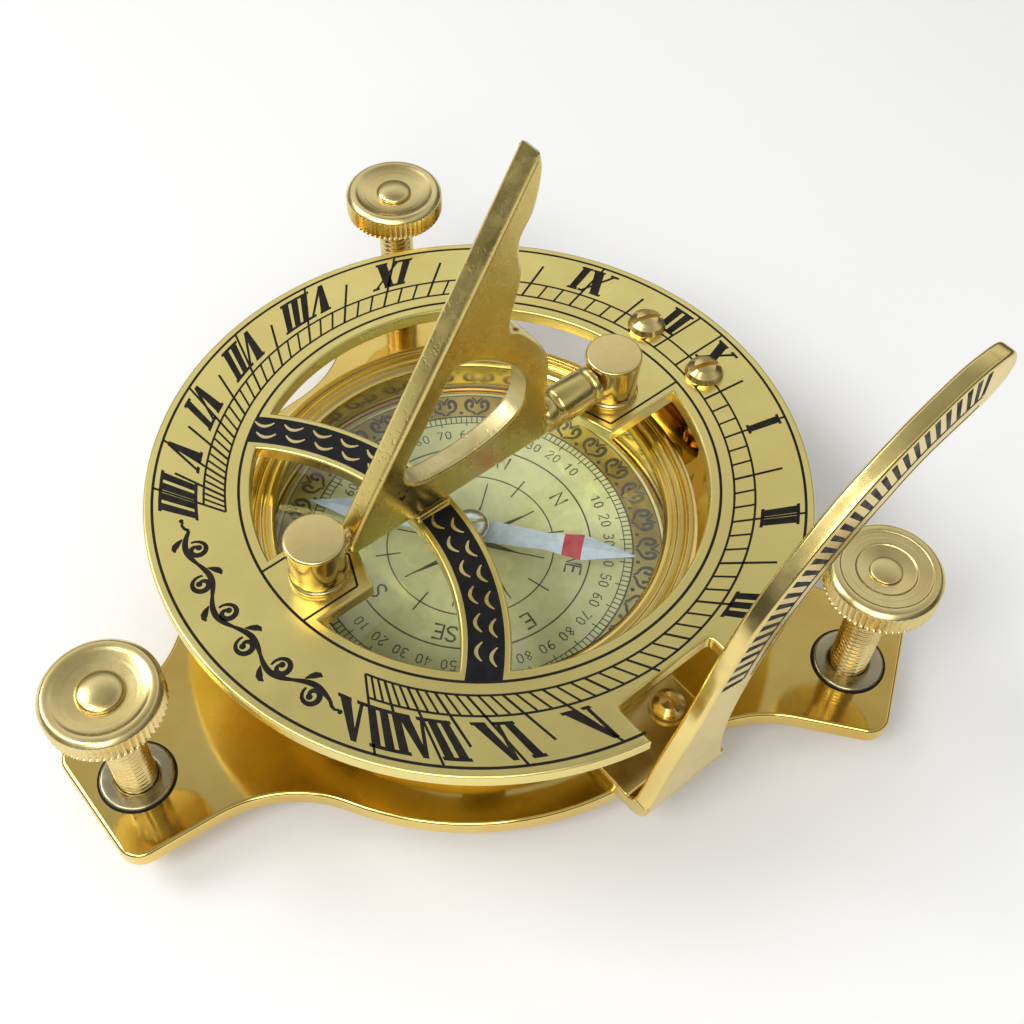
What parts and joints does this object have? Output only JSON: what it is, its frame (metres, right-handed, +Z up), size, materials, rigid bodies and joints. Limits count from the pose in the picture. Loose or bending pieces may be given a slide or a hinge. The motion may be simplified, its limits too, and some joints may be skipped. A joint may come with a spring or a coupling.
{
  "type": "sundial compass",
  "caption": "Brass tabletop sundial compass: tilting hour ring with folding gnomon and curved latitude arm over a glazed compass on a three-screw levelling base.",
  "frame": {"origin": "on the ground under the middle of the bounding box, 1.55 mm east and 8.8 mm north of it lies the centre of the round base", "axes": "+Z up, +Y north towards the hour ring's hinge, +X east towards the latitude arm"},
  "size_m": [0.1284, 0.1216, 0.0861],
  "materials": {
    "polished_brass": "mirror polished",
    "satin_brass": "satin, turned",
    "ring_brass": "satin with black-filled engraving",
    "gnomon_brass": "hand polished casting",
    "screw_brass": "turned",
    "steel": "turned",
    "chrome": "polished",
    "card": "printed card",
    "glass": "clear flat glass",
    "needle_paint": "pale blue-grey with a red band"
  },
  "bodies": {
    "base": {"base_plate": "polished_brass", "levelling_bush_south": "steel", "levelling_bush_east": "steel", "levelling_bush_west": "steel", "compass_case": "polished_brass", "dial_plate": "satin_brass", "compass_card": "card", "compass_glass": "glass", "compass_bezel": "polished_brass", "needle_pivot": "steel", "hinge_bracket": "polished_brass", "bracket_screw_east": "screw_brass", "bracket_screw_west": "screw_brass", "hinge_pin": "steel", "latitude_arm": "polished_brass", "arm_screw": "screw_brass", "arm_washer": "screw_brass"},
    "needle": {"compass_needle": "needle_paint", "needle_cap": "chrome"},
    "ring": {"ring_leaf": "polished_brass", "hour_ring": "ring_brass", "ring_screw_east": "screw_brass", "ring_screw_west": "screw_brass", "gnomon_post_north": "polished_brass", "gnomon_post_south": "polished_brass"},
    "gnomon": {"gnomon": "gnomon_brass"},
    "stud_south": {"levelling_stud_south": "screw_brass"},
    "knob_south": {"levelling_knob_south": "satin_brass"},
    "stud_east": {"levelling_stud_east": "screw_brass"},
    "knob_east": {"levelling_knob_east": "satin_brass"},
    "stud_west": {"levelling_stud_west": "screw_brass"},
    "knob_west": {"levelling_knob_west": "satin_brass"}
  },
  "joints": [
    {"name": "needle_turn", "type": "hinge", "parent": "base", "child": "needle", "pos_m": [0.00155, 0.0088, 0.0158], "axis": [0, 0, 1], "continuous": true},
    {"name": "ring_tilt", "type": "hinge", "parent": "base", "child": "ring", "pos_m": [0.00155, 0.0578, 0.0175], "axis": [-1, 0, 0], "range_deg": [0, 72]},
    {"name": "gnomon_fold", "type": "hinge", "parent": "ring", "child": "gnomon", "pos_m": [0.00155, 0.0108, 0.0336], "axis": [0, -1, 0], "range_deg": [0, 90]},
    {"name": "stud_rise_south", "type": "slide", "parent": "base", "child": "stud_south", "axis": [0, 0, 1], "range_m": [-0.003, 0.001]},
    {"name": "knob_turn_south", "type": "hinge", "parent": "stud_south", "child": "knob_south", "pos_m": [0.00155, -0.0525, 0.031], "axis": [0, 0, 1], "range_deg": [-1082, 362]},
    {"name": "stud_rise_east", "type": "slide", "parent": "base", "child": "stud_east", "axis": [0, 0, 1], "range_m": [-0.003, 0.001]},
    {"name": "knob_turn_east", "type": "hinge", "parent": "stud_east", "child": "knob_east", "pos_m": [0.05296, 0.04219, 0.031], "axis": [0, 0, 1], "range_deg": [-1082, 362]},
    {"name": "stud_rise_west", "type": "slide", "parent": "base", "child": "stud_west", "axis": [0, 0, 1], "range_m": [-0.003, 0.001]},
    {"name": "knob_turn_west", "type": "hinge", "parent": "stud_west", "child": "knob_west", "pos_m": [-0.05355, 0.03567, 0.031], "axis": [0, 0, 1], "range_deg": [-1082, 362]}
  ],
  "couplings": [
    {"joint": "knob_turn_south", "follows": "stud_rise_south", "rad_per_m": 6283.2},
    {"joint": "knob_turn_east", "follows": "stud_rise_east", "rad_per_m": 6283.2},
    {"joint": "knob_turn_west", "follows": "stud_rise_west", "rad_per_m": 6283.2}
  ]
}
